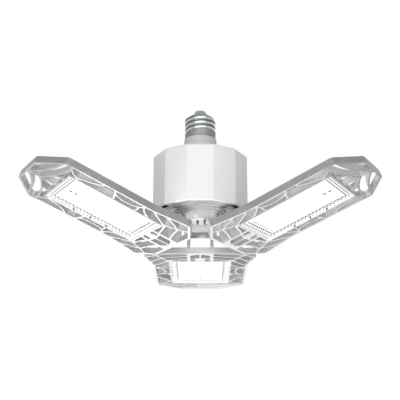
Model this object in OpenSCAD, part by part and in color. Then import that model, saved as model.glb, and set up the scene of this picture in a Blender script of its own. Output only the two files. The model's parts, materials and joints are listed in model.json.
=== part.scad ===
// Screw-in garage light: a twelve-sided driver housing under a medium screw cap, and three
// LED panels on friction hinges, each a cast open lattice around a recessed LED tray.
// Millimetres, +Z up. The origin is on the cap's axis, half way up the threaded shell.
// A panel is drawn lying flat: +X runs outward from its hub end, Y runs across it and Z is
// the height above its underside. panel_place() then hangs it from its hinge.

/* [Screw cap] */
// Radius over the crests of the cap's thread
thread_r = 13.1; // [12.5:0.1:14]
// Length of the threaded shell
shell_len = 18; // [14:0.5:22]
// Sheet thickness of the shell
shell_wall = 0.6; // [0.4:0.1:1]
// Height of the shell's shoulder above the thread
shoulder_h = 4.8; // [3:0.2:6]
// How far the shoulder's cone swells outward at its middle
shoulder_swell = 0.7; // [0:0.1:1.5]
// Radius of the shell's top opening
shell_mouth_r = 7.4; // [6:0.2:9]
// Height of the glass insulator above the shell
insulator_h = 2.8; // [2:0.2:5]
// Radius of the centre contact
contact_r = 4.7; // [3.5:0.1:5.5]
// Height of the centre contact's button
contact_h = 1.6; // [1:0.1:3]

/* [Collar] */
// Radius of the collar at its top
collar_r = 13.8; // [13.5:0.1:18]
// How much wider the collar is at its foot
collar_flare = 0.5; // [0:0.1:2]
// Height of the collar
collar_h = 17.5; // [10:0.5:30]
// Radius of the wire way through the collar
collar_bore_r = 9; // [6:0.5:10]

/* [Housing] */
// Number of flat sides of the housing
housing_sides = 12; // [8:1:16]
// Width of the housing across its flats
housing_flats = 78; // [72:1:100]
// Height of the housing
housing_h = 48.5; // [35:0.5:70]
// Wall of the housing
housing_wall = 2; // [1.2:0.1:3]
// Thickness of the housing's top plate
housing_top = 2.5; // [1.5:0.1:4]
// Chamfer round the top rim
housing_chamfer = 1.8; // [0.5:0.1:2.4]
// Chamfer round the bottom rim
foot_chamfer = 0.9; // [0.3:0.1:1.1]

/* [Base cover] */
// Thickness of the base cover's plate
cover_t = 3; // [2:0.2:5]
// Radius of the outer, middle and inner step of the cover's underside
step_r = [32, 26.8, 22.8];
// Depth of each step
step_h = 0.7; // [0.4:0.1:1]
// Radius of the funnel's flat nose in the middle of the cover
nose_r = 7.5; // [6:0.1:9]
// How far the funnel flares out above its nose
nose_flare = 8; // [4:0.5:10]
// Height of the funnel below the inner step
nose_h = 4.9; // [2:0.1:6]
// Width of the two wire slots in the nose
wire_slot_w = 1.7; // [1:0.1:2.5]
// Places of the two wire slots to the left and right of the middle
wire_slot_x = [-2.2, 3.6];
// Width of the ledge in the housing that the cover is pressed up against
cover_ledge = 0.8; // [0.5:0.1:1.5]

/* [Hinges] */
// Distance of each hinge from the axis
hinge_r = 28; // [26:0.5:32]
// Height of the hinge below the housing's bottom
hinge_drop = 8; // [7:0.5:10]
// Distance of the hinge outward from the panel's hub end
hinge_s = 9.8; // [8:0.2:12]
// Height of the hinge above the panel's underside
hinge_h = 21.5; // [20:0.5:26]
// Width of the ear on the base cover
ear_w = 16.2; // [14:0.2:17]
// Radius of the panel's knuckles
knuckle_r = 6; // [5:0.1:6.2]
// Thickness of the panel's lugs
lug_t = 2.7; // [2:0.1:4]
// Radius of the hinge screw
hinge_pin_r = 2; // [1.5:0.1:2.5]
// Thickness of a friction washer
washer_t = 0.4; // [0.3:0.1:0.8]
// Depth of the cups round the hinge screw's head and nut
cup_depth = 2.8; // [2:0.1:3.5]
// Thickness of the hexagonal hinge nut
nut_len = 2.2; // [1.8:0.1:2.6]

/* [Panels] */
// Upward tilt of the left and the right panel as shown
side_tilt = 19.5; // [-4:0.5:60]
// Upward tilt of the rear panel as shown
rear_tilt = -1.5; // [-4:0.5:60]
// Length of a panel
panel_len = 132.5; // [125:0.5:160]
// Depth of the lattice frame
frame_h = 5.4; // [4.6:0.1:8]
// Half width of the hub end
hub_half = 29; // [26:0.2:31]
// Distance of the shoulders from the hub end
shoulder_s = 11.4; // [9:0.2:15]
// Half width over the shoulders
shoulder_half = 48.4; // [46:0.2:52]
// Where the flare meets the straight sides
flare_s = 40.8; // [34:0.2:48]
// Half width over the straight sides
side_half = 42.1; // [40:0.2:46]
// Distance of the outer corners from the outer end
corner_cut = 17.3; // [12:0.1:20]
// Half width of the outer end
tip_half = 18.3; // [14:0.1:24]
// Rounding of the frame's outer corners
corner_round = 3; // [1:0.5:4]
// Width of the frame's rim
rim_w = 1.9; // [1.2:0.1:2.4]
// Width of the lattice ribs
rib_w = 1.4; // [1:0.1:1.8]
// Fillet where ribs meet
rib_fillet = 0.8; // [0.3:0.1:1.2]

/* [LED tray] */
// Distance of the tray from the hub end
tray_s = 24.3; // [22:0.1:28]
// Length of the outer end's lattice beyond the tray
tip_reach = 25.7; // [20:0.1:32]
// Half width of the tray
tray_half = 27.6; // [24:0.2:32]
// Wall of the tray
tray_wall = 1.6; // [1:0.1:2]
// How far the tray's rim stands below the lattice
tray_proud = 0.5; // [0:0.1:1]
// Depth of the lens's face inside the lattice's underside
lens_sink = 1.4; // [0.5:0.1:2.5]
// Thickness of the lens
lens_t = 1.2; // [0.8:0.1:2]
// Height of the air space between lens and board
lens_gap = 1.2; // [1:0.1:2]
// Thickness of the LED board
board_t = 1; // [0.8:0.1:1.6]
// Thickness of the tray's back plate
plate_t = 1.6; // [1.2:0.1:3]
// Rows of LEDs across and along the board
led_rows = [5, 12];
// Size of one LED
led_size = [3.5, 2.8, 0.7];

/* [Hidden] */

// Overrun of every cut past the face that it opens
over = 0.5;
// Free gap round a piece that is set into another
seat_gap = 0.15;
// Running gap between a pin and its hole, and beside a washer
run_gap = 0.06;
// Facets of round pieces, of small curved outlines and of the lattice's fillets
round_n = 64;
curve_n = 24;
fillet_n = 8;

// Heights of the stacked pieces, from the origin
shell_top = shell_len / 2;
collar_top = -shell_len / 2;
housing_z1 = collar_top - collar_h;
housing_z0 = housing_z1 - housing_h;
hinge_z = housing_z0 - hinge_drop;
mouth_z = shell_top + shoulder_h;
contact_z = mouth_z + insulator_h;

// Housing and cover
corner_r = housing_flats / 2 / cos(180 / housing_sides);
inside_flats = housing_flats - 2 * housing_wall;
spigot_r = thread_r - shell_wall - seat_gap;
spigot_h = shell_len / 3;
foot_r = collar_bore_r + 2.5 * housing_wall;
cover_flats = inside_flats - 2 * seat_gap;
ledge_flats = inside_flats - 2 * cover_ledge;
cover_root = cover_t / 3;

// Ear profile: a block under the cover, whose outer corner is the hinge's barrel
ear_knuckle_r = knuckle_r * 0.83;
ear_nose_r = hinge_r - 2 * ear_knuckle_r;
ear_back_r = hinge_r + ear_knuckle_r;
ear_half = ear_w / 2;
nose_z = housing_z0 - 3 * step_h - nose_h;
wire_slot_len = nose_r * 1.7;
wire_notch_r = ear_back_r + cover_ledge;

// The tray fills what the outer end leaves
tray_len = panel_len - tray_s - tip_reach;

// Panel planes above the underside
lens_face = lens_sink;
lens_back = lens_face + lens_t;
board_face = lens_back + lens_gap;
board_back = board_face + board_t;
plate_top = board_back + plate_t;
tray_in_half = tray_half - tray_wall;
tray_lip = tray_wall / 5;
lens_rim = 1.5;
board_screw_r = 0.9;
board_head_r = 1.7;
board_head_h = 0.7;
board_screw_inset = 5;

// Hinge stack across the panel, from the middle outward
lug_in = ear_half + washer_t + run_gap;
lug_out = lug_in + lug_t;
lug_foot = hinge_s + knuckle_r / 2;
cup_r = knuckle_r * 0.86;
cup_wall = 0.8;
head_r = (cup_r - cup_wall) * 0.88;
head_t = cup_depth * 0.7;
nut_r = (cup_r - cup_wall) * 0.95;

// Driver board
driver_gap = 3;
driver_r = ledge_flats / 2 - driver_gap;
driver_z = housing_z0 + cover_t + housing_h / 5;
driver_t = 1.6;
post_r = 2.6;
post_place_r = driver_r - 2 * post_r;
peg_r = post_r / 2;
lead_r = 0.9;
lead_gap = 3;

white = [0.93, 0.93, 0.93];
silver = [0.66, 0.67, 0.69];
steel = [0.6, 0.62, 0.63];
dark = [0.2, 0.2, 0.22];
light = [0.98, 0.98, 0.95];
board_green = [0.18, 0.4, 0.28];

function mix(a, b, t) = a + (b - a) * t;

// Half width of the panel's outline at a distance from its hub end
function outline_half(s) =
    s < shoulder_s ? mix(hub_half, shoulder_half, s / shoulder_s) :
    s < flare_s ? mix(shoulder_half, side_half, (s - shoulder_s) / (flare_s - shoulder_s)) :
    s < panel_len - corner_cut ? side_half :
    mix(side_half, tip_half, (s - panel_len + corner_cut) / corner_cut);

// A quadratic curve through its two ends, pulled towards its middle point
function bend(p, n = 6) =
    [for (i = [0:n]) let (t = i / n)
        (1 - t) * (1 - t) * p[0] + 2 * t * (1 - t) * p[1] + t * t * p[2]];

// A strip of one width along a path of points
function strip(path, w) =
    let (n = len(path) - 1)
    let (side = [for (i = [0:n])
        let (d = path[min(i + 1, n)] - path[max(i - 1, 0)])
        [-d[1], d[0]] * w / 2 / norm(d)])
    concat([for (i = [0:n]) path[i] + side[i]], [for (i = [n:-1:0]) path[i] - side[i]]);

// Places by shares: along the gutter beside the tray and across it, in the hub end between
// its edge and the tray, and in the outer end between the tray and the tip
function gutter(p) =
    let (s = tray_s + p[0] * tray_len)
    [s, mix(tray_half, outline_half(s) - rim_w / 2, p[1])];
function hub_zone(p) = [p[0] * tray_s, p[1] * shoulder_half];
function tip_zone(p) =
    [mix(tray_s + tray_len, panel_len - rim_w / 2, p[0]), p[1] * side_half];

// Lattice ribs of one half, each as three points of a bent strip, in shares
gutter_rib_shares = [
    [[0, 0.05], [0.08, 0.3], [0.19, 1]],
    [[0.17, 0], [0.27, 0.35], [0.285, 1]],
    [[0.31, 0], [0.31, 0.2], [0.31, 0.45]],
    [[0.29, 0.9], [0.31, 0.32], [0.44, 0.32]],
    [[0.44, 0.32], [0.57, 0.32], [0.6, 1]],
    [[0.545, 0], [0.57, 0.5], [0.6, 1]],
    [[0.7, 1], [0.76, 0.35], [0.93, 0.12]],
    [[0.93, 0.12], [0.99, 0.2], [1.05, 1]]
];
hub_rib_shares = [
    [[0.25, 0.8], [0.52, 0.69], [0.98, 0.59]],
    [[0.585, 0.675], [0.8, 0.78], [1.175, 0.885]],
    [[0.355, 0.215], [0.52, 0.44], [0.565, 0.68]],
    [[0.73, 0.155], [0.87, 0.345], [0.935, 0.59]]
];
tip_rib_shares = [
    [[0.1, 0.98], [0.1, 0.42], [0.57, 0]],
    [[0.36, 0.99], [0.46, 0.4], [0.94, 0.02]],
    [[0, 0.4], [0.1, 0.38], [0.26, 0.33]]
];
// Solid pads of the hub end between the lugs: one at its edge and one by the tray
hub_pad_shares = [
    [[0.03, -0.02], [0.12, -0.02], [0.3, 0.2], [0.03, 0.2]],
    [[0.63, -0.02], [1.05, -0.02], [1.05, 0.07], [0.76, 0.1], [0.715, 0.2]]
];

module prism(flats, z0, z1) {
    translate([0, 0, z0])
        rotate([0, 0, 180 / housing_sides])
            linear_extrude(z1 - z0)
                circle(r = flats / 2 / cos(180 / housing_sides), $fn = housing_sides);
}

module at_panels() {
    for (az = [90, 210, 330])
        rotate([0, 0, az])
            children();
}

// The cover's three posts under the driver board stand between the panels
module at_posts() {
    for (az = [30, 150, 270])
        rotate([0, 0, az])
            translate([post_place_r, 0, 0])
                children();
}

module disc(r, z0, z1) {
    translate([0, 0, z0])
        cylinder(r = r, h = z1 - z0, $fn = round_n);
}

// A round bar across the panel from y0 to y1, on the hinge's axis
module hinge_bar(r, y0, y1) {
    translate([hinge_s, y0, hinge_h])
        rotate([-90, 0, 0])
            cylinder(r = r, h = y1 - y0, $fn = round_n);
}

// Turns a panel drawn flat to its tilt about the hinge and to its side of the housing
module panel_place(az, tilt) {
    rotate([0, 0, az])
        translate([hinge_r, 0, hinge_z])
            rotate([0, -tilt, 0])
                translate([-hinge_s, 0, -hinge_h])
                    children();
}

module centre_contact() {
    stem_r = contact_r * 0.4;
    color(steel)
        rotate_extrude($fn = round_n)
            polygon([
                [0, mouth_z - shoulder_h / 2],
                [stem_r, mouth_z - shoulder_h / 2],
                [stem_r, contact_z],
                [contact_r, contact_z],
                [contact_r * 0.93, contact_z + contact_h * 0.5],
                [contact_r * 0.7, contact_z + contact_h * 0.9],
                [contact_r * 0.35, contact_z + contact_h],
                [0, contact_z + contact_h]
            ]);
}

module cap_insulator() {
    plug_r = shell_mouth_r - shell_wall - seat_gap;
    color(dark)
        rotate_extrude($fn = round_n)
            polygon([
                [contact_r * 0.4 + seat_gap, mouth_z - shoulder_h / 3],
                [plug_r, mouth_z - shoulder_h / 3],
                [plug_r, mouth_z],
                [shell_mouth_r + shell_wall / 2, mouth_z],
                [contact_r * 1.2, contact_z - insulator_h / 4],
                [contact_r, contact_z],
                [contact_r * 0.4 + seat_gap, contact_z]
            ]);
}

module screw_shell() {
    // The shoulder is a cone from the thread to the mouth that swells at its middle
    outside = [for (a = [0:15:180])
        [mix(thread_r, shell_mouth_r, a / 180) + shoulder_swell * sin(a),
         shell_top + shoulder_h * a / 180]];
    inside = [for (p = outside) [p[0] - shell_wall, p[1] - shell_wall / 2]];
    color(steel)
        rotate_extrude($fn = round_n)
            polygon(concat(
                [[thread_r - shell_wall, collar_top], [thread_r, collar_top]],
                outside,
                [[shell_mouth_r - shell_wall, mouth_z]],
                [for (i = [len(inside) - 1:-1:0]) inside[i]]
            ));
}

module collar() {
    color([0.74, 0.75, 0.76])
        rotate_extrude($fn = round_n)
            polygon([
                [collar_bore_r, housing_z1 - housing_top],
                [foot_r, housing_z1 - housing_top],
                [foot_r, housing_z1],
                [collar_r + collar_flare, housing_z1],
                [collar_r + collar_flare, housing_z1 + collar_h / 5],
                [collar_r, collar_top - shell_wall],
                [collar_r - shell_wall, collar_top],
                [spigot_r, collar_top],
                [spigot_r, collar_top + spigot_h],
                [collar_bore_r, collar_top + spigot_h]
            ]);
}

module housing() {
    color(white)
        difference() {
            rotate([0, 0, 180 / housing_sides])
                rotate_extrude($fn = housing_sides)
                    polygon([
                        [0, housing_z0],
                        [corner_r - foot_chamfer, housing_z0],
                        [corner_r, housing_z0 + foot_chamfer],
                        [corner_r, housing_z1 - housing_chamfer],
                        [corner_r - housing_chamfer, housing_z1],
                        [0, housing_z1]
                    ]);
            prism(ledge_flats, housing_z0 - over, housing_z1 - housing_top);
            prism(inside_flats, housing_z0 - over, housing_z0 + cover_t);
            disc(foot_r + seat_gap, housing_z1 - housing_top - over, housing_z1 + over);
        }
}

// Outline of an ear in the plane through its panel, with X outward and Y up
module ear_outline() {
    hull() {
        translate([hinge_r, hinge_z])
            circle(r = ear_knuckle_r, $fn = curve_n);
        translate([ear_nose_r, housing_z0])
            square([ear_back_r - ear_nose_r, cover_root]);
        translate([ear_nose_r, hinge_z - ear_knuckle_r * 0.4])
            square([ear_knuckle_r, ear_knuckle_r]);
    }
}

// The middle of the underside runs down to a flat nose on a hollow curve
module funnel() {
    foot_z = housing_z0 - 3 * step_h;
    rotate_extrude($fn = round_n)
        polygon(concat(
            [[0, housing_z0 + cover_root], [nose_r + nose_flare, housing_z0 + cover_root]],
            [for (a = [0:15:90])
                [nose_r + nose_flare * (1 - sin(a)), foot_z - nose_h * (1 - cos(a))]],
            [[0, nose_z]]
        ));
}

module base_cover() {
    color([0.88, 0.88, 0.89])
        difference() {
            union() {
                prism(cover_flats, housing_z0, housing_z0 + cover_t);
                for (i = [0:2])
                    disc(step_r[i], housing_z0 - (i + 1) * step_h, housing_z0 + cover_root);
                funnel();
                at_panels()
                    rotate([90, 0, 0])
                        translate([0, 0, -ear_half])
                            linear_extrude(ear_w)
                                ear_outline();
                at_posts() {
                    disc(post_r, housing_z0 + cover_root, driver_z);
                    disc(peg_r, housing_z0 + cover_root, driver_z + 2 * driver_t);
                }
            }
            at_panels() {
                translate([hinge_r, -ear_half - over, hinge_z])
                    rotate([-90, 0, 0])
                        cylinder(r = hinge_pin_r + run_gap, h = ear_w + 2 * over, $fn = round_n);
            }
            // The panels' wires leave through notches in the rim behind the ears
            at_panels()
                translate([wire_notch_r, -ear_half, housing_z0 - over])
                    cube([cover_flats / 2, ear_w, cover_t + 2 * over]);
            for (x = wire_slot_x)
                translate([x - wire_slot_w / 2, -nose_r * 0.9, nose_z - over])
                    cube([wire_slot_w, wire_slot_len, housing_z0 - nose_z + cover_t + 2 * over]);
        }
}

module driver_board() {
    color(board_green)
        difference() {
            disc(driver_r, driver_z, driver_z + driver_t);
            at_posts()
                disc(peg_r + seat_gap, driver_z - over, driver_z + driver_t + over);
        }
}

module driver_transformer() {
    size = [driver_r * 0.6, driver_r * 0.5, housing_h * 0.35];
    color([0.75, 0.62, 0.25])
        translate([-size[0] * 1.1, -size[1] / 2, driver_z + driver_t])
            cube(size);
}

module driver_capacitors() {
    color(dark)
        for (side = [-1, 1])
            translate([driver_r * 0.35, side * driver_r * 0.32, 0])
                disc(driver_r * 0.2, driver_z + driver_t, driver_z + driver_t + housing_h * 0.4);
}

module driver_choke() {
    color([0.7, 0.4, 0.2])
        translate([-driver_r * 0.1, -driver_r * 0.5, driver_z + driver_t])
            difference() {
                disc(driver_r * 0.22, 0, housing_h * 0.16);
                disc(driver_r * 0.1, -over, housing_h * 0.16 + over);
            }
}

// Two wires from the driver board up through the collar to the cap
module cap_leads() {
    color("white")
        for (side = [-1, 1])
            translate([0, side * lead_gap, 0])
                disc(lead_r, driver_z + driver_t, mouth_z - shoulder_h / 2 - over);
}

module frame_outline() {
    half = [
        [0, hub_half], [shoulder_s, shoulder_half], [flare_s, side_half],
        [panel_len - corner_cut, side_half], [panel_len, tip_half]
    ];
    offset(r = corner_round, $fn = curve_n)
        offset(delta = -corner_round)
            polygon(concat(half, [for (i = [len(half) - 1:-1:0]) [half[i][0], -half[i][1]]]));
}

module tray_outline(inset = 0) {
    translate([tray_s + inset, -tray_half + inset])
        square([tray_len - 2 * inset, 2 * (tray_half - inset)]);
}

module frame_ribs() {
    for (p = gutter_rib_shares)
        polygon(strip(bend([for (q = p) gutter(q)]), rib_w));
    for (p = hub_rib_shares)
        polygon(strip(bend([for (q = p) hub_zone(q)]), rib_w));
    for (p = tip_rib_shares)
        polygon(strip(bend([for (q = p) tip_zone(q)]), rib_w));
    for (p = hub_pad_shares)
        polygon([for (q = p) hub_zone(q)]);
    // The lug carries on down the hub end as a straight rib to the tray
    translate([rim_w / 2, lug_in])
        square([tray_s - rim_w, lug_t]);
}

module frame_plan() {
    // Growing and shrinking back rounds every inner corner of the lattice
    offset(r = -rib_fillet, $fn = fillet_n)
        offset(delta = rib_fillet)
            union() {
                difference() {
                    frame_outline();
                    offset(delta = -rim_w)
                        frame_outline();
                }
                intersection() {
                    frame_outline();
                    union() {
                        for (m = [0, 1])
                            mirror([0, m])
                                frame_ribs();
                        translate([rim_w / 2, -rib_w / 2])
                            square([tray_s, rib_w]);
                        translate([tray_s + tray_len - tray_wall, -rib_w / 2])
                            square([panel_len - tray_s - tray_len, rib_w]);
                    }
                }
                tray_outline();
            }
}

// Side view of a lug: the knuckle on a foot that stands on the frame, X outward and Y up
module lug_outline() {
    hull() {
        translate([hinge_s, hinge_h])
            circle(r = knuckle_r, $fn = curve_n);
        translate([0, frame_h / 2])
            square([lug_foot, frame_h / 2]);
    }
}

module frame() {
    color(silver)
        difference() {
            union() {
                linear_extrude(frame_h)
                    frame_plan();
                translate([0, 0, -tray_proud])
                    linear_extrude(plate_top + tray_proud)
                        tray_outline(tray_lip);
                for (side = [-1, 1])
                    translate([0, side > 0 ? lug_out : -lug_in, 0])
                        rotate([90, 0, 0])
                            linear_extrude(lug_t)
                                lug_outline();
                hinge_bar(cup_r, -lug_out - cup_depth, -lug_out + lug_t / 2);
                hinge_bar(cup_r, lug_out - lug_t / 2, lug_out + cup_depth);
            }
            translate([0, 0, -tray_proud - over])
                linear_extrude(board_back + tray_proud + over)
                    tray_outline(tray_wall);
            hinge_bar(cup_r - cup_wall, -lug_out - cup_depth - over, -lug_out);
            hinge_bar(cup_r - cup_wall, lug_out, lug_out + cup_depth + over);
            hinge_bar(hinge_pin_r + run_gap, -lug_out - over, lug_out + over);
            for (p = board_screw_places())
                translate([p[0], p[1], board_back - over])
                    cylinder(r = board_screw_r + run_gap, h = plate_t * 0.75 + over, $fn = curve_n);
        }
}

function board_screw_places() =
    [for (x = [tray_s + tray_wall + board_screw_inset, tray_s + tray_len - tray_wall - board_screw_inset],
          y = [-1, 1] * (tray_in_half - board_screw_inset)) [x, y]];

module led_board() {
    color("white")
        difference() {
            translate([0, 0, board_face])
                linear_extrude(board_t)
                    tray_outline(tray_wall + seat_gap);
            for (p = board_screw_places())
                translate([p[0], p[1], board_face - over])
                    cylinder(r = board_screw_r + run_gap, h = board_t + 2 * over, $fn = curve_n);
        }
}

module leds() {
    field = [tray_len - 2 * (tray_wall + 2 * board_screw_inset), 2 * (tray_in_half - 2 * board_screw_inset)];
    color([1, 0.85, 0.3])
        for (i = [0:led_rows[1] - 1], j = [0:led_rows[0] - 1])
            translate([
                tray_s + tray_len / 2 + field[0] * (i / (led_rows[1] - 1) - 0.5) - led_size[0] / 2,
                field[1] * (j / (led_rows[0] - 1) - 0.5) - led_size[1] / 2,
                board_face - led_size[2]
            ])
                cube(led_size);
}

// A flat plate with a low wall round its edge, which rests on the LED board
module lens() {
    inset = tray_wall + seat_gap;
    color(light)
        difference() {
            translate([0, 0, lens_face])
                linear_extrude(board_face - lens_face)
                    tray_outline(inset);
            translate([0, 0, lens_back])
                linear_extrude(lens_gap + over)
                    tray_outline(inset + lens_rim);
        }
}

module board_screws() {
    color(steel)
        for (p = board_screw_places())
            translate([p[0], p[1], 0]) {
                disc(board_head_r, board_face - board_head_h, board_face);
                disc(board_screw_r, board_face, board_back + plate_t / 2);
            }
}

module hinge_screw() {
    color(steel)
        union() {
            hinge_bar(head_r, -lug_out - head_t, -lug_out);
            hinge_bar(hinge_pin_r, -lug_out, lug_out + nut_len);
        }
}

module hinge_nut() {
    color(silver)
        translate([hinge_s, lug_out, hinge_h])
            rotate([-90, 0, 0])
                difference() {
                    cylinder(r = nut_r, h = nut_len, $fn = 6);
                    translate([0, 0, -over])
                        cylinder(r = hinge_pin_r + run_gap, h = nut_len + 2 * over, $fn = round_n);
                }
}

// One washer on each side of the ear
module hinge_washers() {
    color(dark)
        difference() {
            union() {
                hinge_bar(ear_knuckle_r, lug_in - washer_t, lug_in);
                hinge_bar(ear_knuckle_r, -lug_in, -lug_in + washer_t);
            }
            hinge_bar(hinge_pin_r + run_gap, -lug_out, lug_out);
        }
}

module left_frame() panel_place(210, side_tilt) frame();
module left_led_board() panel_place(210, side_tilt) led_board();
module left_leds() panel_place(210, side_tilt) leds();
module left_lens() panel_place(210, side_tilt) lens();
module left_board_screws() panel_place(210, side_tilt) board_screws();
module left_hinge_screw() panel_place(210, side_tilt) hinge_screw();
module left_hinge_nut() panel_place(210, side_tilt) hinge_nut();
module left_hinge_washers() panel_place(210, side_tilt) hinge_washers();

module right_frame() panel_place(330, side_tilt) frame();
module right_led_board() panel_place(330, side_tilt) led_board();
module right_leds() panel_place(330, side_tilt) leds();
module right_lens() panel_place(330, side_tilt) lens();
module right_board_screws() panel_place(330, side_tilt) board_screws();
module right_hinge_screw() panel_place(330, side_tilt) hinge_screw();
module right_hinge_nut() panel_place(330, side_tilt) hinge_nut();
module right_hinge_washers() panel_place(330, side_tilt) hinge_washers();

module rear_frame() panel_place(90, rear_tilt) frame();
module rear_led_board() panel_place(90, rear_tilt) led_board();
module rear_leds() panel_place(90, rear_tilt) leds();
module rear_lens() panel_place(90, rear_tilt) lens();
module rear_board_screws() panel_place(90, rear_tilt) board_screws();
module rear_hinge_screw() panel_place(90, rear_tilt) hinge_screw();
module rear_hinge_nut() panel_place(90, rear_tilt) hinge_nut();
module rear_hinge_washers() panel_place(90, rear_tilt) hinge_washers();

centre_contact();
cap_insulator();
screw_shell();
collar();
housing();
base_cover();
driver_board();
driver_transformer();
driver_capacitors();
driver_choke();
cap_leads();
left_frame();
left_led_board();
left_leds();
left_lens();
left_board_screws();
left_hinge_screw();
left_hinge_nut();
left_hinge_washers();
right_frame();
right_led_board();
right_leds();
right_lens();
right_board_screws();
right_hinge_screw();
right_hinge_nut();
right_hinge_washers();
rear_frame();
rear_led_board();
rear_leds();
rear_lens();
rear_board_screws();
rear_hinge_screw();
rear_hinge_nut();
rear_hinge_washers();
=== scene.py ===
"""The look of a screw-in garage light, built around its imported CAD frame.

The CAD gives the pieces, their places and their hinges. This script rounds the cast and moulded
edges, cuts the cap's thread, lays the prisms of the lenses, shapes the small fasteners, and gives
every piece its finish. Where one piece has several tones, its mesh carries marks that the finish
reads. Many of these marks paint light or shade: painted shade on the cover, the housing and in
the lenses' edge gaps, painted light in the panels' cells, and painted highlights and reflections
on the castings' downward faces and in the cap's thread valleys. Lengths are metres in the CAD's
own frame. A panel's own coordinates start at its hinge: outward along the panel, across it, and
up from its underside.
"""

import json
import math

import bmesh
import bpy
import numpy as np

from mathutils.bvhtree import BVHTree
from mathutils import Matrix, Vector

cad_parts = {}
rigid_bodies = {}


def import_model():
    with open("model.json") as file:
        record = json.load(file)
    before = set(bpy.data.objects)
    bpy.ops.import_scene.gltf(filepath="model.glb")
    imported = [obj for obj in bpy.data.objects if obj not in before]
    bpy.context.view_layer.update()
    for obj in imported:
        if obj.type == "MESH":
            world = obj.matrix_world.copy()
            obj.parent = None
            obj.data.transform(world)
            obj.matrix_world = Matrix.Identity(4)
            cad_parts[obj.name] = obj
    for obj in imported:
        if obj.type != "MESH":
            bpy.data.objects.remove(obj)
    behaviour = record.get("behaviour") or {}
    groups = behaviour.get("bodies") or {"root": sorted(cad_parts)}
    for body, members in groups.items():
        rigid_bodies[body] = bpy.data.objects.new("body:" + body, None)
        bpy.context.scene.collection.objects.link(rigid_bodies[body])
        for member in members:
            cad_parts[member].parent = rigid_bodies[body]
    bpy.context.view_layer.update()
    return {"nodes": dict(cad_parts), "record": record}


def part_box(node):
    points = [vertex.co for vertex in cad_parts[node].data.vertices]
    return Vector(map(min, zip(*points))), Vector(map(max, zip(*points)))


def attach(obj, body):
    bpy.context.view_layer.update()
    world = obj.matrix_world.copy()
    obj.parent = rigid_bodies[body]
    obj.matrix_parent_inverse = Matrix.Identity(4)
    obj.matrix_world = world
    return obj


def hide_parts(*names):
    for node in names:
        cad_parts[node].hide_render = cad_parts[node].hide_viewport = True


for thing in list(bpy.data.objects):
    bpy.data.objects.remove(thing)
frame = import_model()

MM = 0.001
TURN = 2 * math.pi
SIDES = ("left", "right", "rear")
SLOT = {row["node"]: row["material_slot"] for row in frame["record"]["subparts"]}
JOINTS = {row["name"]: row for row in frame["record"]["behaviour"]["joints"]}

# The cap
THREAD_PITCH = 4.3 * MM
THREAD_DEPTH = 1.0 * MM
THREAD_START = -0.05 * MM  # moves the ridges along the shell
THREAD_FADE = 2.0 * MM  # the thread runs out over this height
THREAD_PAST = 1.6 * MM  # and ends this far above the foot of the shoulder
SHOULDER_BULGE = 0.1 * MM
SHEET = 0.6 * MM
MOUTH_R = 6.7 * MM
PLUG_R = MOUTH_R - 1.5 * MM
GLASS_SAG = 1.3  # the power of the glass cone's quarter sine

# The cover and the housing; all but the last four are distances from the cap's axis
NOSE_R = 9 * MM
EARS_FROM = 12 * MM
STEPS_TO = 33 * MM
NOTCH_FROM = 33.5 * MM
NOTCH_TO = 35.5 * MM
BARREL_RISE = 1.7 * MM  # above the cover's lowest point
PLATE_RISE = 8 * MM
RIM_RISE = 3 * MM  # above the housing's lowest point
CEILING_DROP = 5 * MM  # below the housing's highest point

# The castings
EDGE_BAND = 1.6 * MM  # faces that look down this near the underside take a painted highlight
TRAY_GAP = 0.4 * MM  # from the lens to the walls that line it
TIP_FADE = 15 * MM  # the painted highlight fades to the tip colour over this length
HIGHLIGHT_FADE_AT_LENS = 0.4  # the share of that fade that is done where the lens ends
REAR_END = 7 * MM  # past its lens by this, the rear panel's walls take the painted highlight as well

# Looks from a face, to find out whether it stands inside a cell, whose walls get painted light
NEAR_CORNER = 0.85  # from the face's middle towards a corner
LOOK_LIFT = 0.02 * MM
LOOK_REACH = 100 * MM
LOOK_TURNS = (-1, -0.47, 0, 0.47, 1)  # tangents of the angles to the face's normal

# The lenses
LENS_RIM = 1.5 * MM
LENS_PLATE = 1.2 * MM
LENS_BORDER = 5.5 * MM
BORDER_FADE = 1.2 * MM
FLAT_EDGE = 0.3 * MM
LENS_GRID = 0.42 * MM
PRISM_PITCH = 2.4 * MM
PRISM_DEPTH = 0.16 * MM
PRISM_SLANT = 0.35
DIMPLE_PITCH = 1.9 * MM
DIMPLE_DEPTH = 0.04 * MM
HUB_LINE, HUB_FIELD = (0.8 * MM, 0.8 * MM), (5.0 * MM, 3.5 * MM)  # from the edge, half width
TIP_LINES = ((0.5 * MM, 0.5 * MM), (2.4 * MM, 0.4 * MM), (4.6 * MM, 0.45 * MM))
SIDE_LINE = (5.0 * MM, 0.7 * MM)
REAR_SHARE = 0.6  # how strong the side lines are on the rear lens
SPOTS_FROM_TIP = (10.5 * MM, 15 * MM)
SPOT_SIZE = (1.3 * MM, 1.6 * MM)
# Black slips that paint the shade in the gaps along the lens's long edges
SHADE_SLIP_SHARES = (0.31, 0.5, 0.69)
SHADE_SLIP_WIDTH = 1.0 * MM
SHADE_SLIP_THICK = 0.25 * MM
SHADE_SLIP_GAP = 0.15 * MM
SHADE_SLIP_SUNK = 0.25 * MM

# The hinges
FOLDED = 90  # degrees above level at the upper limit of a panel's hinge
PIN_R = 2.0 * MM
PIN_GAP = 0.05 * MM
PIN_CHAMFER = 0.4 * MM
HEAD_ROUND = 0.6 * MM
CROSS_DEPTH = 0.9 * MM
CROSS_HALF = 0.5 * MM  # half a bar's width
CROSS_TURN = 0.4  # radians


# Shader maths ---------------------------------------------------------------------------------


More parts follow.
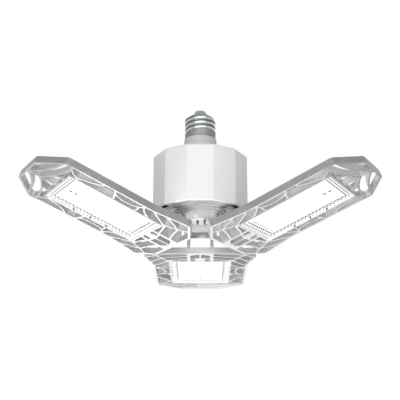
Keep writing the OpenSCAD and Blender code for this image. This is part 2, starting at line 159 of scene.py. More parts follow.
class Wire:
    """One output of a shader node; sums and products of wires add the Math nodes they need."""

    def __init__(self, finish, socket):
        self.finish = finish
        self.socket = socket

    def __add__(self, other):
        return self.finish.maths("ADD", self, other)

    def __radd__(self, other):
        return self.finish.maths("ADD", other, self)

    def __sub__(self, other):
        return self.finish.maths("SUBTRACT", self, other)

    def __rsub__(self, other):
        return self.finish.maths("SUBTRACT", other, self)

    def __mul__(self, other):
        return self.finish.maths("MULTIPLY", self, other)

    def __rmul__(self, other):
        return self.finish.maths("MULTIPLY", other, self)

    def rise(self, low, high, bottom=0.0, top=1.0):
        """Climbs smoothly from bottom to top while the wire goes from low to high."""
        return self.finish.add(
            "ShaderNodeMapRange",
            {"interpolation_type": "SMOOTHSTEP"},
            {"Value": self, "From Min": low, "From Max": high, "To Min": bottom, "To Max": top},
        )


class Finish:
    """A material and the nodes it is made of."""

    SOCKETS = {
        "base": "Base Color", "roughness": "Roughness", "metallic": "Metallic",
        "normal": "Normal", "glow": "Emission Color", "glow_strength": "Emission Strength",
        "specular": "Specular IOR Level",
    }

    def __init__(self, name):
        self.material = bpy.data.materials.new(name)
        self.material.use_nodes = True
        self.tree = self.material.node_tree
        self.shader = self.tree.nodes["Principled BSDF"]
        self.place = self.add("ShaderNodeTexCoord", {}, {}, "Object")

    def add(self, kind, settings, sockets, output=0):
        node = self.tree.nodes.new(kind)
        for key, value in settings.items():
            setattr(node, key, value)
        for key, value in sockets.items():
            if isinstance(value, Wire):
                self.tree.links.new(value.socket, node.inputs[key])
            else:
                node.inputs[key].default_value = value
        return Wire(self, node.outputs[output])

    def maths(self, operation, *values):
        return self.add("ShaderNodeMath", {"operation": operation}, dict(enumerate(values)))

    def noise(self, size, detail=2.0, stretch=(1, 1, 1)):
        """Cloudy variation between 0 and 1, whose lumps are about one size across, in metres."""
        moved = self.add("ShaderNodeMapping", {}, {"Vector": self.place, "Scale": stretch})
        return self.add(
            "ShaderNodeTexNoise", {}, {"Vector": moved, "Scale": 1 / size, "Detail": detail}
        )

    def mark(self, name):
        """A number that the mesh carries on its faces or points."""
        return self.add("ShaderNodeAttribute", {"attribute_name": name}, {}, "Fac")

    def blend(self, share, first, second):
        """A colour between two colours by a share that may change over the surface."""
        colours = {
            slot: value if isinstance(value, Wire) else (*value, 1)
            for slot, value in ((6, first), (7, second))
        }
        return self.add("ShaderNodeMix", {"data_type": "RGBA"}, {"Factor": share, **colours}, 2)

    def relief(self, height, depth):
        return self.add("ShaderNodeBump", {}, {"Height": height, "Distance": depth})

    def set(self, **sockets):
        for key, value in sockets.items():
            socket = self.shader.inputs[self.SOCKETS[key]]
            if isinstance(value, Wire):
                self.tree.links.new(value.socket, socket)
            else:
                socket.default_value = (*value, 1) if isinstance(value, tuple) else value
        return self.material


def grey(level, cool=0.0):
    return (level - cool, level, level + cool)


def moulded(name, light, dark, rough, painted_shade=None):
    """Moulded plastic: faint clouding, a fine eroded skin and an uneven satin gloss.

    Given a painted shade colour, the plastic takes it where the mesh marks painted shade, and is
    painted black where the mesh marks openings and closed insides, a painted shade as well.
    """
    f = Finish(name)
    base = f.blend(f.noise(28 * MM, 3).rise(0.3, 0.7), dark, light)
    if painted_shade:
        # painted shade: the shade colour where marked, and black where openings are marked
        base = f.blend(f.mark("opening"), f.blend(f.mark("painted_shade"), base, painted_shade), grey(0.015))
    return f.set(
        base=base,
        roughness=f.noise(5 * MM, 4).rise(0.3, 0.7, rough - 0.05, rough + 0.07),
        normal=f.relief(f.noise(0.35 * MM, 2), 0.012 * MM),
        specular=0.45,
    )


def casting(name, wall, cell, face, tip):
    """Die casting: sprayed outer walls and paler cell walls, a painted light; bright faces that
    look down, a painted highlight that fades to a duller tip colour at the tips.
    """
    f = Finish(name)
    cloud = f.noise(16 * MM, 3)
    peel = f.noise(0.8 * MM, 3)
    sag = f.noise(6 * MM, 2)
    grain = f.noise(1.2 * MM, 3, (1, 1, 6))
    # painted light: the walls inside the cells take the paler cell colour
    coat_with_cell_light = f.blend(f.mark("cell") + cloud.rise(0.25, 0.75, -0.1, 0.1), wall, cell)
    # painted highlight on the downward faces, fading to the tip colour outboard
    dull = f.mark("downward") * f.mark("outboard").rise(0, 1)
    cut = f.blend(dull + grain.rise(0.3, 0.7, 0, 0.06), face, tip)
    return f.set(
        base=f.blend(f.mark("painted_highlight"), coat_with_cell_light, cut),
        roughness=peel.rise(0.3, 0.7, 0.3, 0.44),
        metallic=0.25,
        normal=f.relief(peel * 0.35 + sag, 0.035 * MM),
    )


def plated(name, colour, tarnish, rough, scratch):
    """Plated sheet or turned steel: metal with drawn scratches and patches of dull film."""
    f = Finish(name)
    lines = f.noise(scratch, 4)
    film = f.noise(6 * MM, 4)
    return f.set(
        base=f.blend(film.rise(0.42, 0.75), colour, tarnish),
        roughness=film.rise(0.35, 0.8, rough, rough + 0.16) + lines.rise(0.4, 0.7, 0, 0.06),
        metallic=1.0,
        normal=f.relief(lines, 0.002 * MM),
    )


def threaded_steel(name, crest, valley):
    """Plated cap steel: paler and glossier in the thread's valleys, a painted reflection; darker
    and rougher on its crests and skirt, with patches of darker film.
    """
    f = Finish(name)
    lines = f.noise(1.6 * MM, 4, (1, 1, 12))
    film = f.noise(6 * MM, 3)
    valley_reflection = f.mark("valley")
    return f.set(
        # painted reflection: the thread's valleys take the paler valley colour
        base=f.blend(valley_reflection, f.blend(film.rise(0.4, 0.8), crest, grey(0.17)), valley),
        roughness=0.52 - 0.34 * valley_reflection + lines.rise(0.4, 0.7, 0, 0.05),
        metallic=1.0,
        normal=f.relief(lines, 0.0015 * MM),
    )


def lit_lens(name):
    """Opal plastic over the LEDs, which glows but for the marked lines and spots, and is black on
    the slips in the edge gaps, a painted shade.
    """
    f = Finish(name)
    dim = f.mark("dim")
    cloud = f.noise(9 * MM, 2)
    plate = f.blend(dim + cloud.rise(0.4, 0.8, 0, 0.04), grey(0.5), grey(0.14, 0.006))
    return f.set(
        # painted shade: the marked slips are black
        base=f.blend(f.mark("painted_gap_shade"), plate, grey(0.05)),
        roughness=0.28,
        glow=f.blend(dim, grey(1.0), grey(0.0)),
        glow_strength=0.65,
    )


def phosphor(name):
    """Silicone dot with phosphor: grainy yellow that glows warm."""
    f = Finish(name)
    grit = f.noise(0.3 * MM, 2)
    return f.set(
        base=f.blend(grit, (0.95, 0.78, 0.3), (0.85, 0.65, 0.2)),
        roughness=0.5,
        glow=(1.0, 0.95, 0.85),
        glow_strength=1.0,
    )


FINISH = {
    # the housing's and the cover's last greys are their painted shade colours
    "housing_white": moulded("housing plastic", grey(0.92), grey(0.89), 0.41, grey(0.5)),
    "cover_white": moulded("cover plastic", grey(0.93), grey(0.9), 0.41, grey(0.34)),
    "collar_white": moulded("collar plastic", grey(0.6, 0.008), grey(0.56, 0.008), 0.4),
    # cell colour: painted light; face colour: a painted highlight; tip colour: where it fades
    "panel_metal": casting(
        "coated casting", grey(0.25, 0.003), grey(0.6, 0.006), grey(0.95, 0.002), grey(0.48, 0.008)
    ),
    # the valley colour is a painted reflection
    "cap_steel": threaded_steel("plated cap steel", (0.23, 0.24, 0.24), (0.5, 0.52, 0.52)),
    "contact_metal": plated("soldered contact", grey(0.44), grey(0.38), 0.4, 1.6 * MM),
    "insulator": moulded("cap insulator", grey(0.36), grey(0.32), 0.3),
    "driver_pcb": moulded("green solder mask", (0.05, 0.25, 0.12), (0.03, 0.18, 0.08), 0.3),
    "transformer": moulded("yellow winding tape", (0.75, 0.6, 0.12), (0.6, 0.45, 0.08), 0.4),
    "capacitor": moulded("black sleeve", (0.03, 0.03, 0.05), (0.02, 0.02, 0.03), 0.3),
    "choke": moulded("enamelled copper", (0.45, 0.2, 0.08), (0.25, 0.1, 0.04), 0.35),
    "lead": moulded("white wire insulation", grey(0.85), grey(0.78), 0.4),
    "led_pcb": moulded("white solder mask", grey(0.9), grey(0.84), 0.3),
    "led": phosphor("yellow phosphor"),
    "lens": lit_lens("lit lens"),
    "screw_steel": plated("zinc screw steel", grey(0.4), grey(0.3), 0.3, 0.6 * MM),
    "nut_metal": plated("zinc nut steel", grey(0.34), grey(0.26), 0.35, 0.5 * MM),
    "washer": moulded("black friction washer", grey(0.05), grey(0.03), 0.6),
}


# Places ---------------------------------------------------------------------------------------


def vertices(mesh):
    points = np.empty(len(mesh.vertices) * 3)
    mesh.vertices.foreach_get("co", points)
    return points.reshape(-1, 3)


class Hinge:
    """A panel's hinge: its place, and the panel's three directions as photographed."""

    def __init__(self, side):
        joint = JOINTS[f"{side}_tilt"]
        tilt = math.radians(FOLDED - joint["range_deg"][1])
        self.place = np.array(joint["pos_m"], float)
        self.across = -np.array(joint["axis"], float)
        level = np.array([self.across[1], -self.across[0], 0])
        above = np.array([0, 0, 1.0])
        self.out = math.cos(tilt) * level + math.sin(tilt) * above
        self.up = math.cos(tilt) * above - math.sin(tilt) * level
        self.axes = np.stack([self.out, self.across, self.up])

    def world(self, points):
        return self.place + np.asarray(points) @ self.axes

    def local(self, points):
        return (np.asarray(points) - self.place) @ self.axes.T

    def box(self, node):
        """Lowest and highest corner of a CAD node in the panel's own coordinates."""
        points = self.local(vertices(frame["nodes"][node].data))
        return points.min(0), points.max(0)


HINGE = {side: Hinge(side) for side in SIDES}


# Meshes ---------------------------------------------------------------------------------------


def shade(mesh, angle):
    mesh.polygons.foreach_set("use_smooth", np.ones(len(mesh.polygons), bool))
    mesh.set_sharp_from_angle(angle=math.radians(angle))


def closed(mesh, smooth):
    """Joins points that coincide, drops faces with no area and turns all faces outward."""
    merge = 1e-8
    bm = bmesh.new()
    bm.from_mesh(mesh)
    bmesh.ops.remove_doubles(bm, verts=bm.verts, dist=merge)
    bmesh.ops.dissolve_degenerate(bm, dist=merge, edges=bm.edges)
    bmesh.ops.recalc_face_normals(bm, faces=bm.faces)
    bm.to_mesh(mesh)
    bm.free()
    shade(mesh, smooth)
    return mesh


def grid_faces(rows, columns, join_rows=False, join_columns=False):
    """Quads over a grid of points, joined end to end along either direction if asked."""
    i = np.arange(rows if join_rows else rows - 1)[:, None]
    j = np.arange(columns if join_columns else columns - 1)[None, :]
    i1, j1 = (i + 1) % rows, (j + 1) % columns
    corners = (i * columns + j, i * columns + j1, i1 * columns + j1, i1 * columns + j)
    return np.stack(np.broadcast_arrays(*corners), -1).reshape(-1, 4)


def mesh_of(name, points, faces):
    mesh = bpy.data.meshes.new(name)
    mesh.from_pydata(points.reshape(-1, 3).tolist(), [], faces.tolist())
    mesh.update()
    return mesh


def show(name, mesh, body, node):
    """Puts a finished mesh on its body, in place of its CAD node and with that node's finish."""
    piece = bpy.data.objects.new(name, mesh)
    bpy.context.scene.collection.objects.link(piece)
    mesh.materials.clear()
    mesh.materials.append(FINISH[SLOT[node]])
    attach(piece, body)
    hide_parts(node)
    return piece


def turned(name, profile, place=(0, 0, 0), axis=(0, 0, 1), turns=96, shape=None):
    """A closed profile of (radius, height) carried round an axis.

    Point (i, j) lies at angle i on profile point j. shape(angle, radius, height) may change
    both, as a thread, a hexagon or a recess does.
    """
    axis = np.asarray(axis, float) / np.linalg.norm(axis)
    aside = np.array([0, 0, 1.0]) if abs(axis[2]) < 0.9 else np.array([0, -1.0, 0])
    first = np.cross(aside, axis)
    first /= np.linalg.norm(first)
    second = np.cross(axis, first)
    profile = np.asarray(profile, float)
    angle = np.linspace(0, TURN, turns, endpoint=False)[:, None]
    radius = np.broadcast_to(profile[:, 0], (turns, len(profile)))
    height = np.broadcast_to(profile[:, 1], (turns, len(profile)))
    if shape:
        radius, height = shape(angle, radius, height)
    radial = np.cos(angle)[..., None] * first + np.sin(angle)[..., None] * second
    points = np.asarray(place, float) + radius[..., None] * radial + height[..., None] * axis
    return mesh_of(name, points, grid_faces(turns, len(profile), True, True))


def rounded(corners, radius, steps=4):
    """A polyline whose inner corners become short quadratic bends of about one radius."""
    corners = [np.asarray(c, float) for c in corners]
    path = [corners[0]]
    for before, corner, after in zip(corners, corners[1:], corners[2:]):
        start = corner + (before - corner) * min(0.45, radius / np.linalg.norm(before - corner))
        end = corner + (after - corner) * min(0.45, radius / np.linalg.norm(after - corner))
        for t in np.linspace(0, 1, steps + 1):
            path.append((1 - t) ** 2 * start + 2 * t * (1 - t) * corner + t ** 2 * end)
    return np.array(path + [corners[-1]])


def softened(node, name, width, body, limit=50, segments=2, smooth=30):
    """A copy of a CAD node with its flat faces joined and its sharp edges rounded by one width."""
    mesh = frame["nodes"][node].data.copy()
    bm = bmesh.new()
    bm.from_mesh(mesh)
    bmesh.ops.remove_doubles(bm, verts=bm.verts, dist=2e-6)
    bmesh.ops.dissolve_limit(bm, angle_limit=math.radians(0.6), verts=bm.verts, edges=bm.edges)
    bm.to_mesh(mesh)
    bm.free()
    shade(mesh, smooth)
    piece = show(name, mesh, body, node)
    bevel = piece.modifiers.new("edges", "BEVEL")
    bevel.width = width
    bevel.segments = segments
    bevel.limit_method = "ANGLE"
    bevel.angle_limit = math.radians(limit)
    return piece


def worked_in(piece):
    """The piece's mesh with its modifiers made part of it."""
    graph = bpy.context.evaluated_depsgraph_get()
    piece.data = bpy.data.meshes.new_from_object(piece.evaluated_get(graph))
    piece.modifiers.clear()
    return piece.data


def face_data(mesh):
    """Normals and middles of a mesh's faces."""
    normals, middles = (np.empty(len(mesh.polygons) * 3) for _ in range(2))
    mesh.polygons.foreach_get("normal", normals)
    mesh.polygons.foreach_get("center", middles)
    return normals.reshape(-1, 3), middles.reshape(-1, 3)


def faces_itself(mesh, normals, middles, up):
    """For each face, whether a look from near one of its corners meets the mesh.

    The looks go along the face's normal and up to 45 degrees to either side of it.
    """
    corners = vertices(mesh)
    faces = [tuple(face.vertices) for face in mesh.polygons]
    tree = BVHTree.FromPolygons(corners.tolist(), faces)
    beside = np.cross(normals, up)
    meets = []
    for face, middle, normal, aside in zip(faces, middles, normals, beside):
        near = NEAR_CORNER * corners[list(face)] + (1 - NEAR_CORNER) * middle
        starts = (near + LOOK_LIFT * normal).tolist()
        looks = [(normal + turn * aside).tolist() for turn in LOOK_TURNS]
        meets.append(any(tree.ray_cast(s, look, LOOK_REACH)[0] for s in starts for look in looks))
    return np.array(meets)


def mark(mesh, name, values, domain="FACE"):
    """Writes a number on each face or point of a mesh, for a finish to read."""
    layer = mesh.attributes.new(name, "FLOAT", domain)
    layer.data.foreach_set("value", np.asarray(values, np.float32))


# The cap --------------------------------------------------------------------------------------


def screw_shell():
    """Sheet shell: between its foot and its shoulder the wall sinks by the thread's depth.

    The sinking follows a cosine of height over pitch less the turn, squared to widen the valleys.
    It starts within a quarter turn at the bottom, and fades out at the shoulder.
    """
    low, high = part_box("screw_shell")
    crest, foot, mouth = high[0], low[2], high[2]
    top = -foot  # the threaded wall reaches as far above the origin as below it
    wall = np.linspace(foot, top, 140)
    cone = np.linspace(0, 1, 26)[1:]
    slope = crest + (MOUTH_R - crest) * cone + SHOULDER_BULGE * np.sin(math.pi * cone)
    radius = np.concatenate([np.full(len(wall), crest), slope])
    height = np.concatenate([wall, top + (mouth - top) * cone])
    skin = len(radius)
    inner = np.stack([radius - 2.2 * SHEET, np.minimum(height, mouth - SHEET)], 1)[::-1]
    profile = np.concatenate([np.stack([radius, height], 1), inner])

    def sink(angle, z):
        """Share of the thread's depth by which the wall is sunk at an angle and a height."""
        climb = (z + THREAD_START) / THREAD_PITCH - angle / TURN
        wave = 0.5 + 0.5 * np.cos(TURN * climb)
        groove = np.floor(climb)  # -1 is the first whole groove, -2 the one that runs into it
        fade_in = np.where(groove >= -1, 1, (groove == -2) * np.clip(4 * angle / TURN - 3, 0, 1))
        fade_out = np.clip((top + THREAD_PAST - z) / THREAD_FADE, 0, 1)
        return (1 - wave ** 2) * fade_in * fade_out

    def thread(angle, r, z):
        outside = np.arange(r.shape[1]) < skin
        return r - THREAD_DEPTH * sink(angle, z) * outside, z

    mesh = turned("threaded_shell", profile, turns=144, shape=thread)
    points = vertices(mesh)
    around = np.arctan2(-points[:, 1], -points[:, 0]) % TURN
    # the valley mark carries a painted reflection into the thread's valleys
    mark(mesh, "valley", sink(around, points[:, 2]), "POINT")
    show("threaded_shell", closed(mesh, 60), "housing", "screw_shell")


def cap_insulator():
    """Glass cone between shell and contact: its radius falls along a quarter sine that sags."""
    low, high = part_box("cap_insulator")
    inner, neck = 2.0 * MM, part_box("centre_contact")[1][0]
    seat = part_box("screw_shell")[1][2] - SHEET
    rise = np.linspace(0, 1, 14)
    lip = 0.05 * MM
    radius = MOUTH_R + lip + (neck - MOUTH_R) * np.sin(rise * math.pi / 2) ** GLASS_SAG
    cone = np.stack([radius, seat + (high[2] - seat) * rise], 1)
    plug = [[inner, low[2]], [PLUG_R, low[2]], [PLUG_R, seat]]
    mesh = turned("glass_cone", np.concatenate([plug, cone, [[inner, high[2]]]]), turns=72)
    show("glass_cone", closed(mesh, 40), "housing", "cap_insulator")


def centre_contact():
    """Solder button: a low dome whose radius ripples with the turn, on its stem."""
    low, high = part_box("centre_contact")
    rim, foot = high[0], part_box("cap_insulator")[1][2]
    tall = high[2] - foot
    arc = np.linspace(0, math.pi / 2, 14)
    dome = np.stack([rim * np.cos(arc), foot + tall * (0.05 + 0.85 * np.sin(arc))], 1)
    stem = [[0, low[2]], [0.4 * rim, low[2]], [0.4 * rim, foot], [rim, foot]]
    profile = np.concatenate([stem, dome])

    def ripple(angle, r, z):
        """The radius times 0.985 and two sines of 3 and 7 waves a turn."""
        swell = 0.985 + 0.01 * np.sin(3 * angle + 1) + 0.005 * np.sin(7 * angle)
        return r * np.where(z > foot, swell, 1), z

    mesh = turned("solder_button", profile, turns=64, shape=ripple)
    show("solder_button", closed(mesh, 50), "housing", "centre_contact")


# The panels -----------------------------------------------------------------------------------


def lattice(side):
    """The casting with rounded edges.

    Faces that look down at the underside or line the tray are marked for a painted highlight, and
    the walls inside the cells for a paler colour that stands in for light there, a painted light.
    The painted highlight on the downward faces fades towards the tips of the side panels.
    """
    hinge = HINGE[side]
    mesh = worked_in(softened(f"{side}_frame", f"{side}_lattice", 0.4 * MM, f"{side}_panel"))
    normals, middles = face_data(mesh)
    low, high = hinge.box(f"{side}_lens")
    place = hinge.local(middles)
    underside = hinge.box(f"{side}_frame")[0][2]
    looks_down = (normals @ hinge.up < -0.3) & (place[:, 2] < underside + EDGE_BAND)
    beside = (place[:, :2] > low[:2] - TRAY_GAP) & (place[:, :2] < high[:2] + TRAY_GAP)
    outboard = (hinge.local(vertices(mesh))[:, 0] - high[0]) / TIP_FADE + HIGHLIGHT_FADE_AT_LENS
    lined = beside.all(1) & (normals @ hinge.up < 0.5)
    if side == "rear":
        lined |= place[:, 0] > high[0] + REAR_END
        outboard *= 0
    # painted highlight on the downward faces and on the tray's lining
    mark(mesh, "painted_highlight", looks_down | lined)
    mark(mesh, "downward", looks_down)
    mark(mesh, "outboard", outboard, "POINT")
    ends = normals @ hinge.out < -0.3
    # painted light: cell walls and the ends facing the hub take the paler cell colour
    mark(mesh, "cell", ends | faces_itself(mesh, normals, middles, hinge.up))


def lens(side):
    """Lens plate over a grid of outward and across places, with black slips in its edge gaps, a
    painted shade.

    Its face sinks by the prisms' triangle waves in the border and by shallow sine dimples in the
    middle; its back is a plate that steps down to a rim round the edge. The dim lines lie at
    set distances from the edges: broken up by a product of two sines at the hub, straight at the
    tip, and straight with a sine beside it on the side away from the viewer.
    """
    hinge = HINGE[side]
    low, high = hinge.box(f"{side}_lens")
    s, w = (np.linspace(low[k], high[k], round((high[k] - low[k]) / LENS_GRID)) for k in (0, 1))
    S, W = np.meshgrid(s, w, indexing="ij")
    from_hub, from_tip = S - low[0], high[0] - S
    from_side = np.minimum(W - low[1], high[1] - W)
    inset = np.minimum(np.minimum(from_hub, from_tip), from_side)
    long_side = from_side <= np.minimum(from_hub, from_tip)
    run = np.where(long_side, S + PRISM_SLANT * np.abs(W), W + PRISM_SLANT * S) / PRISM_PITCH
    tooth = 2 * np.abs(run % 1 - 0.5)
    dimple = 0.25 * (2 - np.cos(TURN * S / DIMPLE_PITCH) - np.cos(TURN * W / DIMPLE_PITCH))
    border = np.clip((LENS_BORDER - inset) / BORDER_FADE, 0, 1)

    def line(away, middle, half):
        """1 out to half a half-width from the line's middle, 0 from one and a half on."""
        return np.clip(1.5 - np.abs(away - middle) / half, 0, 1)

    speck = np.sin(TURN * (S + 0.4 * W) / (3.1 * MM)) * np.sin(TURN * W / (7.3 * MM))
    hub_band = (0.4 * line(from_hub, *HUB_LINE) + line(from_hub, *HUB_FIELD)) * (speck > 0.05)
    tip_band = sum(line(from_tip, *row) for row in TIP_LINES)
    weave = 2.6 * MM + 1.6 * MM * np.sin(TURN * S / (3.3 * MM))
    side_band = line(from_side, *SIDE_LINE) + line(from_side, weave, MM)
    side_band *= W * hinge.across[1] > -0.01 * MM  # the far side, or both on the rear lens
    if side == "rear":
        side_band *= REAR_SHARE
    long, wide = SPOT_SIZE
    spots = sum(
        np.exp(-(((from_tip - far) / long) ** 2 + (W / wide) ** 2) ** 2) for far in SPOTS_FROM_TIP
    )
    band = np.where(long_side, side_band, np.where(from_hub < from_tip, hub_band, tip_band)) + spots
    relief = PRISM_DEPTH * tooth * border + DIMPLE_DEPTH * dimple * (1 - border)
    face = low[2] + relief * (inset > FLAT_EDGE)
    back = np.where(inset < LENS_RIM, high[2], low[2] + LENS_PLATE)
    points = np.concatenate([np.stack([S, W, H], -1).reshape(-1, 3) for H in (face, back)])
    rows, columns = S.shape
    sheet = grid_faces(rows, columns)
    edge = np.concatenate([
        np.arange(columns),
        np.arange(1, rows) * columns + columns - 1,
        (rows - 1) * columns + np.arange(columns - 2, -1, -1),
        np.arange(rows - 2, 0, -1) * columns,
    ])
    skirt = np.stack([edge, edge + S.size, np.roll(edge, -1) + S.size, np.roll(edge, -1)], -1)
    shade_slip_points, shade_slip_faces = shade_slips(low, high, hinge.box(f"{side}_frame")[0][2])
    faces = np.concatenate([sheet, sheet[:, ::-1] + S.size, skirt, shade_slip_faces + len(points)])
    mesh = mesh_of(f"{side}_prism_lens", hinge.world(np.concatenate([points, shade_slip_points])), faces)
    dim = np.clip(band, 0, 1).ravel()
    mark(mesh, "dim", np.concatenate([dim, dim, np.ones(len(shade_slip_points))]), "POINT")
    # painted shade: the slips are black and do not glow
    mark(mesh, "painted_gap_shade", np.arange(len(mesh.vertices)) >= len(points), "POINT")
    show(f"{side}_prism_lens", closed(mesh, 35), f"{side}_panel", f"{side}_lens")


def shade_slips(low, high, rim):
    """Three upright black slips on each long edge of the lens, painted shade in the gaps there:
    boxes from the plate nearly to the rim.
    """
    corner = np.array([[x, y, z] for x in (0, 1) for y in (0, 1) for z in (0, 1)], float)
    box = np.array([
        [0, 1, 3, 2], [4, 6, 7, 5], [0, 4, 5, 1], [2, 3, 7, 6], [0, 2, 6, 4], [1, 5, 7, 3],
    ])
    points, faces = [], []
    for share in SHADE_SLIP_SHARES:
        for wall, inward in ((low[1], 1), (high[1], -1)):
            along = low[0] + share * (high[0] - low[0]) - SHADE_SLIP_WIDTH / 2
            start = np.array([along, wall, rim + SHADE_SLIP_GAP])
            size = np.array([SHADE_SLIP_WIDTH, inward * SHADE_SLIP_THICK, low[2] + SHADE_SLIP_SUNK - start[2]])
            faces.append(box + len(corner) * len(points))
            points.append(start + corner * size)
    return np.concatenate(points), np.concatenate(faces)


def hinge_screw(side):
    """Pan-head screw: the head's face sinks in a cross of two bars, and the pin is chamfered."""
    hinge = HINGE[side]
    low, high = hinge.box(f"{side}_hinge_screw")
    head, face, end = high[0], low[1], high[1]
    seat = -hinge.box(f"{side}_hinge_nut")[0][1]
    rings = 26
    top = np.stack([0.8 * head * np.linspace(0, 1, rings), np.full(rings, face)], 1)
    edge = rounded([top[-1], [head, face + 0.35 * (seat - face)], [head, seat]], HEAD_ROUND)
    pin = [[PIN_R, seat], [PIN_R, end - PIN_CHAMFER], [PIN_R - PIN_CHAMFER, end], [0, end]]
    profile = np.concatenate([top, edge[1:], pin])

    def recess(angle, r, a):
        """Two bars that cross at right angles, sunk with steep soft walls into the head's face."""
        x, y = np.abs(r * np.cos(angle + CROSS_TURN)), np.abs(r * np.sin(angle + CROSS_TURN))
        bar = np.clip(0.5 + (CROSS_HALF - np.minimum(x, y)) / (0.15 * MM), 0, 1)
        tip = np.clip((0.55 * head - np.maximum(x, y)) / (0.3 * MM), 0, 1)
        return r, a + CROSS_DEPTH * bar * tip * (np.arange(r.shape[1]) < rings)

    mesh = turned(f"{side}_cross_screw", profile, hinge.place, hinge.across, shape=recess)
    show(f"{side}_cross_screw", closed(mesh, 35), f"{side}_panel", f"{side}_hinge_screw")


def hinge_nut(side):
    """Hexagon nut: the radius follows a hexagon, whose corners are cut back at both faces."""
    hinge = HINGE[side]
    low, high = hinge.box(f"{side}_hinge_nut")
    corners = hinge.local(vertices(frame["nodes"][f"{side}_hinge_nut"].data))
    flat = np.hypot(corners[:, 0], corners[:, 2]).max() * math.cos(math.pi / 6)
    bottom, top = low[1], high[1]
    bore, land = PIN_R + PIN_GAP, 0.96 * flat
    bevel, rim = 0.3 * MM, 1.0  # the rim's radius only says which points follow the hexagon
    profile = [
        [bore, bottom + bevel], [bore + bevel, bottom], [land, bottom], [rim, bottom],
        [rim, top], [land, top], [bore + bevel, top], [bore, top - bevel],
    ]

    def hexagon(angle, r, a):
        """The distance to a hexagon's side at each angle; its corners are bevelled at the ends."""
        corner = flat / np.cos((angle + math.pi / 6) % (math.pi / 3) - math.pi / 6)
        outer = r == rim
        cut = (corner - land) * 0.5 * np.where(a > (bottom + top) / 2, -1, 1)
        return np.where(outer, corner, r), np.where(outer, a + cut, a)

    mesh = turned(f"{side}_hex_nut", profile, hinge.place, hinge.across, shape=hexagon)
    show(f"{side}_hex_nut", closed(mesh, 25), f"{side}_panel", f"{side}_hinge_nut")


def base_cover():
    """The moulded cover, with painted shade: darker steps, ear cheeks, plate, nose underside and
    barrel underside, and black walls in the wire slots and notches.
    """
    piece = softened("base_cover", "base_cover_moulding", 0.3 * MM, "housing")
    normals, middles = face_data(piece.data)
    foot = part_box("base_cover")[0][2]
    radius = np.hypot(middles[:, 0], middles[:, 1])
    outward = (normals[:, :2] * middles[:, :2]).sum(1) / np.maximum(radius, MM)
    upright = np.abs(normals[:, 2]) < 0.3
    barrel = (middles[:, 2] < foot + BARREL_RISE) & (normals[:, 2] < -0.5)
    plate = middles[:, 2] > foot + PLATE_RISE
    step = plate & upright & (outward > 0.9) & (radius < STEPS_TO)
    cheek = upright & (np.abs(outward) < 0.7) & (radius > EARS_FROM)
    slot = upright & (outward < 0.6) & (radius < NOSE_R) & (normals[:, 1] > -0.7)
    away = outward * radius
    notch = plate & upright & (away > NOTCH_FROM) & (away < NOTCH_TO)
    nose = (normals[:, 2] < -0.5) & (radius < NOSE_R)
    # painted shade: steps, ear cheeks, plate, nose underside and barrel underside darken by these
    # shares
    painted_shades = ((step, 0.62), (cheek, 0.8), (plate, 0.8), (nose, 0.5), (barrel, 0.6))
    mark(piece.data, "painted_shade", np.select([where for where, _ in painted_shades], [t for _, t in painted_shades], 0.0))
    # painted shade: the walls in the wire slots and the notches are painted black
    mark(piece.data, "opening", slot | notch)


def housing():
    """The twelve-sided housing, with painted shade: greyer on the downward faces of its lower rim,
    and black in its closed inside.
    """
    piece = softened("housing", "housing_body", 0.5 * MM, "housing", 20, 3)
    normals, middles = face_data(piece.data)
    low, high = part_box("housing")
    outward = (normals[:, :2] * middles[:, :2]).sum(1)
    inner = (outward < 0) & (np.abs(normals[:, 2]) < 0.3)
    ceiling = (normals[:, 2] < -0.5) & (middles[:, 2] > high[2] - CEILING_DROP)
    # painted shade: the closed inside is painted black
    mark(piece.data, "opening", inner | ceiling)
    # painted shade: the downward faces of the lower rim are greyer
    mark(piece.data, "painted_shade", (normals[:, 2] < -0.7) & (middles[:, 2] < low[2] + RIM_RISE))


def dress_cad():
    """Gives the CAD nodes their finishes; those that stay in view show them."""
    for node, slot in SLOT.items():
        mesh = frame["nodes"][node].data
        mesh.materials.clear()
        mesh.materials.append(FINISH[slot])


dress_cad()
screw_shell()
centre_contact()
cap_insulator()
softened("collar", "collar_moulding", 0.3 * MM, "housing", 40)
housing()
base_cover()
for side in SIDES:
    lattice(side)
    lens(side)
    hinge_screw(side)
    hinge_nut(side)
    softened(f"{side}_hinge_washers", f"{side}_washer_pair", 0.08 * MM, f"{side}_panel")


# Stage ----------------------------------------------------------------------------------------


def floor():
    reach, height = 3.0, -0.62
    corners = ((-reach, -reach), (reach, -reach), (reach, reach), (-reach, reach))
    mesh = bpy.data.meshes.new("floor")
    mesh.from_pydata([(x, y, height) for x, y in corners], [], [(0, 1, 2, 3)])
    plane = bpy.data.objects.new("floor", mesh)
    bpy.context.scene.collection.objects.link(plane)
    f = Finish("pale floor")
    f.set(base=f.blend(f.noise(0.4, 3), grey(0.84), grey(0.88)), roughness=0.8)
    mesh.materials.append(f.material)


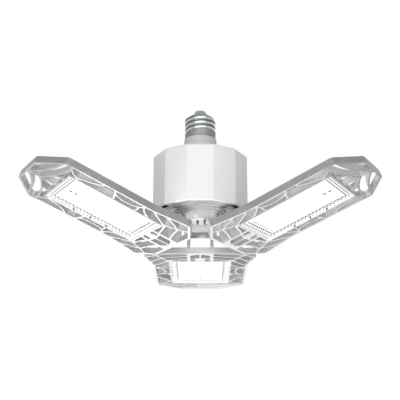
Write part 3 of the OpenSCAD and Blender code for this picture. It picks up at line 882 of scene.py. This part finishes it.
def lamp(name, place, aim, size, power):
    """A rectangular lamp whose face looks at a point."""
    data = bpy.data.lights.new(name, "AREA")
    data.shape = "RECTANGLE"
    data.size, data.size_y = size
    data.energy = power
    light = bpy.data.objects.new(name, data)
    light.location = place
    ahead = np.asarray(aim, float) - np.asarray(place, float)
    level = math.hypot(ahead[0], ahead[1])
    light.rotation_euler = (math.atan2(level, -ahead[2]), 0, math.atan2(-ahead[0], ahead[1]))
    bpy.context.scene.collection.objects.link(light)


def world():
    """White where the camera, shiny and clear surfaces look; a dim level for all else."""
    studio = bpy.data.worlds.new("studio")
    bpy.context.scene.world = studio
    studio.use_nodes = True
    tree = studio.node_tree
    path = tree.nodes.new("ShaderNodeLightPath")
    seen = path.outputs["Is Camera Ray"]
    for name in ("Is Glossy Ray", "Is Transmission Ray"):
        either = tree.nodes.new("ShaderNodeMath")
        either.operation = "MAXIMUM"
        tree.links.new(seen, either.inputs[0])
        tree.links.new(path.outputs[name], either.inputs[1])
        seen = either.outputs[0]
    level = tree.nodes.new("ShaderNodeMix")
    level.data_type = "RGBA"
    tree.links.new(seen, level.inputs["Factor"])
    level.inputs[6].default_value = (*grey(0.14, 0.001), 1)
    level.inputs[7].default_value = (1, 1, 1, 1)
    tree.links.new(level.outputs[2], tree.nodes["Background"].inputs["Color"])


def camera():
    """The photograph's view: from below and in front, with the picture's centre shifted up."""
    picture, focal, aside, above = 400, 813.7, -0.3, 15  # in pixels
    pitch = 16.6  # degrees above level
    data = bpy.data.cameras.new("camera")
    data.sensor_width = 36
    data.lens = focal / picture * data.sensor_width
    data.shift_x, data.shift_y = aside / picture, above / picture
    data.clip_start = 10 * MM
    view = bpy.data.objects.new("camera", data)
    view.location = (0, -650 * MM, -269.3 * MM)
    view.rotation_euler = (math.radians(90 + pitch), 0, 0)
    bpy.context.scene.collection.objects.link(view)
    bpy.context.scene.camera = view


floor()
world()
lamp("front softbox", (0.0, -1.3, 0.15), (0, 0, -0.04), (2.4, 1.1), 14)
lamp("low fill", (0.0, -1.2, -0.35), (0, 0, -0.08), (0.6, 0.3), 2)
lamp("upward softbox", (-0.2, 0.0, -0.57), (0, 0, -0.1), (0.14, 0.14), 2.6)
lamp("top softbox", (-0.2, -0.4, 1.0), (0, 0, 0), (0.7, 0.7), 2)
camera()
bpy.context.scene.view_settings.view_transform = "Standard"
